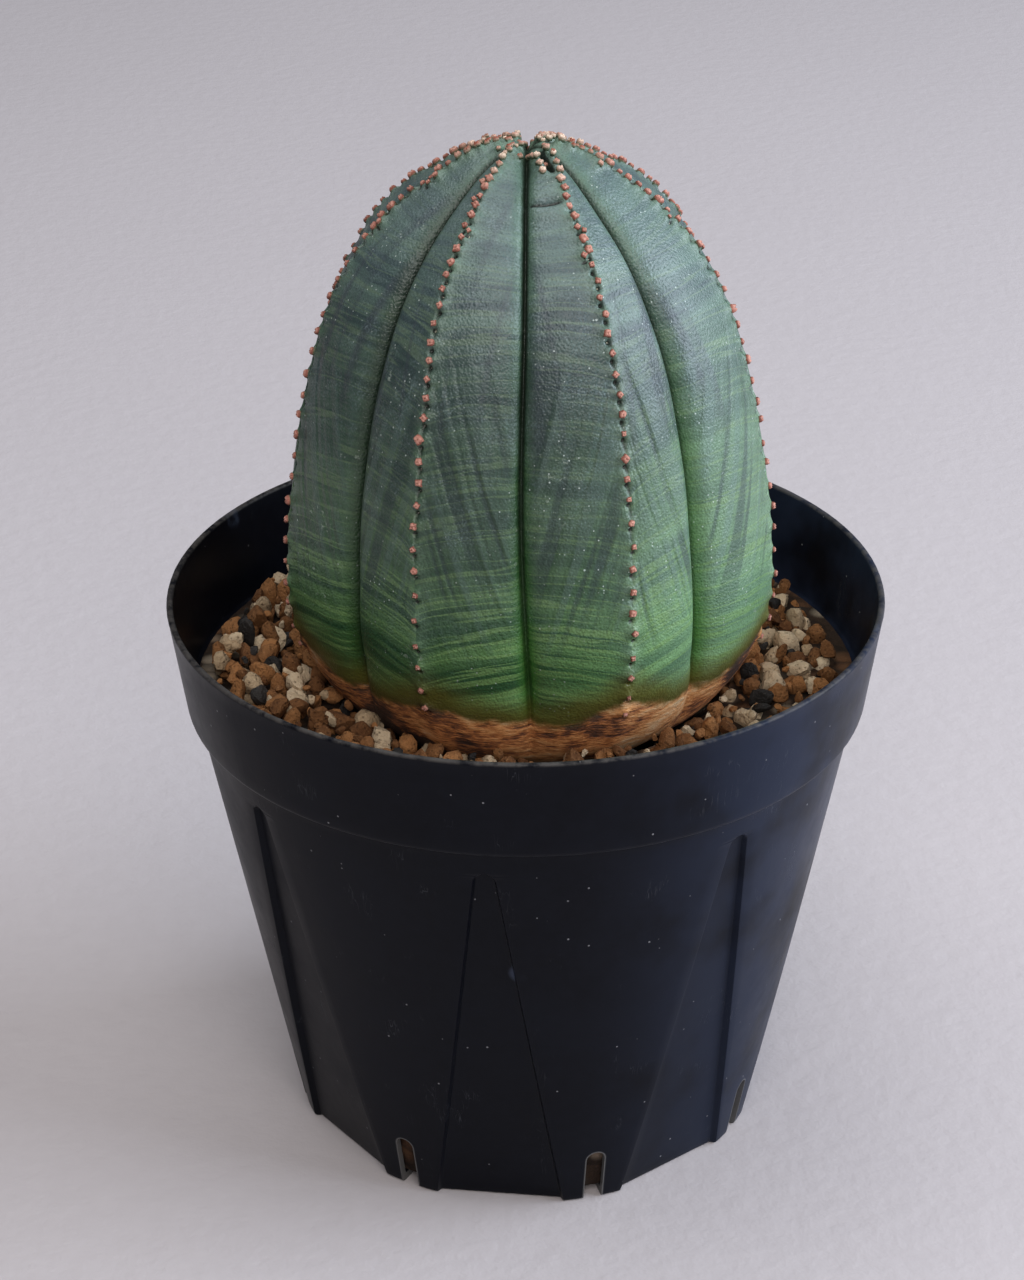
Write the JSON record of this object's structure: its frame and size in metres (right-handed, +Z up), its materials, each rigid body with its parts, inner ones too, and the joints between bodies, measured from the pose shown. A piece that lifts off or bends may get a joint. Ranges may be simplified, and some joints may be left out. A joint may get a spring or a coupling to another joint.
{
  "type": "potted euphorbia",
  "caption": "Ribbed globe-shaped succulent with rows of tubercles, rooted in granular mix in a tapered black nursery pot with flat side panels and drain slots.",
  "frame": {"origin": "middle of the pot's flat foot, on the surface it stands on", "axes": "+Z up along the pot's axis, -Y towards the front, +X to the right"},
  "size_m": [0.105, 0.105, 0.152],
  "materials": {
    "pot": "moulded black polypropylene, satin, with fine scratches and dust",
    "plant": "waxy grey-green skin with cross bands, corky brown base, red-brown tubercles",
    "potting_mix": "damp granular mix",
    "pumice": "rough porous",
    "akadama": "rough baked clay",
    "charcoal": "matt black"
  },
  "bodies": {
    "root": {"akadama_grain_01": "akadama", "akadama_grain_02": "akadama", "akadama_grain_03": "akadama", "akadama_grain_04": "akadama", "akadama_grain_05": "akadama", "akadama_grain_06": "akadama", "akadama_grain_07": "akadama", "akadama_grain_08": "akadama", "akadama_grain_09": "akadama", "akadama_grain_10": "akadama", "akadama_grain_11": "akadama", "akadama_grain_12": "akadama", "akadama_grain_13": "akadama", "akadama_grain_14": "akadama", "akadama_grain_15": "akadama", "akadama_grain_16": "akadama", "charcoal_grain_01": "charcoal", "charcoal_grain_02": "charcoal", "charcoal_grain_03": "charcoal", "charcoal_grain_04": "charcoal", "charcoal_grain_05": "charcoal", "charcoal_grain_06": "charcoal", "charcoal_grain_07": "charcoal", "charcoal_grain_08": "charcoal", "plant": "plant", "pot": "pot", "potting_mix": "potting_mix", "pumice_grain_01": "pumice", "pumice_grain_02": "pumice", "pumice_grain_03": "pumice", "pumice_grain_04": "pumice", "pumice_grain_05": "pumice", "pumice_grain_06": "pumice", "pumice_grain_07": "pumice", "pumice_grain_08": "pumice", "pumice_grain_09": "pumice", "pumice_grain_10": "pumice", "pumice_grain_11": "pumice", "pumice_grain_12": "pumice", "pumice_grain_13": "pumice", "pumice_grain_14": "pumice", "pumice_grain_15": "pumice", "pumice_grain_16": "pumice"}
  },
  "joints": []
}
